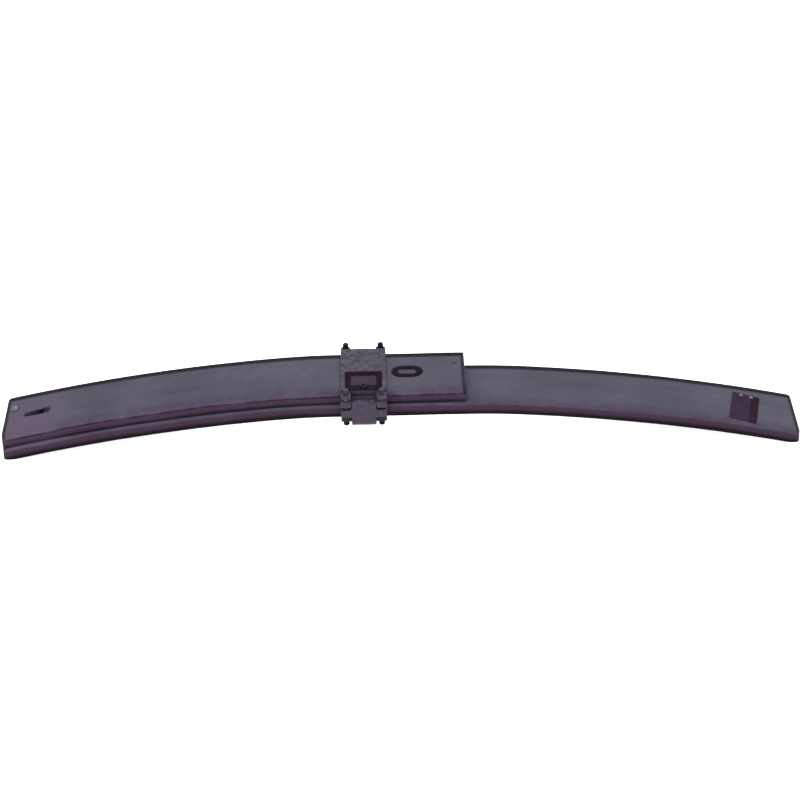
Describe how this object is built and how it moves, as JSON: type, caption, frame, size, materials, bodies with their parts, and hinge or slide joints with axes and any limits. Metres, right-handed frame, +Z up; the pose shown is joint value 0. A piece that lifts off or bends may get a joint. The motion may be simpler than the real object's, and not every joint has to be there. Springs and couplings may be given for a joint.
{
  "type": "leaf spring",
  "caption": "Arched slipper leaf spring: a full-length main leaf, a shorter upper leaf, an offset bolted clamp, liners and a bushed slot.",
  "frame": {"origin": "on the floor under mid-length: middle of the main leaf's length and width, at the level of the feet under the two tips", "axes": "+X along the leaves towards the single-leaf tip, +Y across the leaves away from the clamp's pad, +Z up, the way the leaves arch"},
  "size_m": [1.088, 0.136, 0.1072],
  "materials": {
    "spring_paint": "blue-grey semi-matt paint over rolled spring steel",
    "casting": "painted rough sand casting",
    "pad_rubber": "matt black rubber",
    "plate_paint": "satin dark enamel on thin sheet, blank",
    "liner": "matt black strip",
    "plated_steel": "dull plated steel",
    "dark_steel": "black oxide steel"
  },
  "bodies": {
    "leaf_pack": {"main_leaf": "spring_paint", "upper_leaf": "spring_paint", "tip_liner": "liner", "tip_rivet": "plated_steel", "data_plate": "plate_paint", "data_plate_rivet_1": "plated_steel", "data_plate_rivet_2": "plated_steel"},
    "axle_clamp": {"clamp_cap": "casting", "clamp_saddle": "casting", "cap_pad": "pad_rubber", "cap_pad_screw": "dark_steel", "centre_dowel": "plated_steel", "centre_spacer": "plated_steel", "end_liner": "liner", "end_liner_rivet": "spring_paint", "slot_bush": "pad_rubber", "slot_key": "spring_paint", "clamp_stud_1": "dark_steel", "clamp_stud_2": "dark_steel", "clamp_stud_3": "dark_steel", "clamp_stud_4": "dark_steel", "top_nut_1": "casting", "top_nut_2": "casting", "top_nut_3": "dark_steel", "top_nut_4": "dark_steel", "bottom_nut_1": "dark_steel", "bottom_nut_2": "dark_steel", "bottom_nut_3": "dark_steel", "bottom_nut_4": "dark_steel", "spring_washer_1": "dark_steel", "spring_washer_2": "dark_steel", "spring_washer_3": "dark_steel", "spring_washer_4": "dark_steel"}
  },
  "joints": [
    {"name": "axle_travel", "type": "slide", "parent": "leaf_pack", "child": "axle_clamp", "axis": [0, 0, 1], "range_m": [-0.04, 0.008], "stiffness_N_per_m": 800000, "deforming": ["main_leaf", "upper_leaf"]}
  ]
}
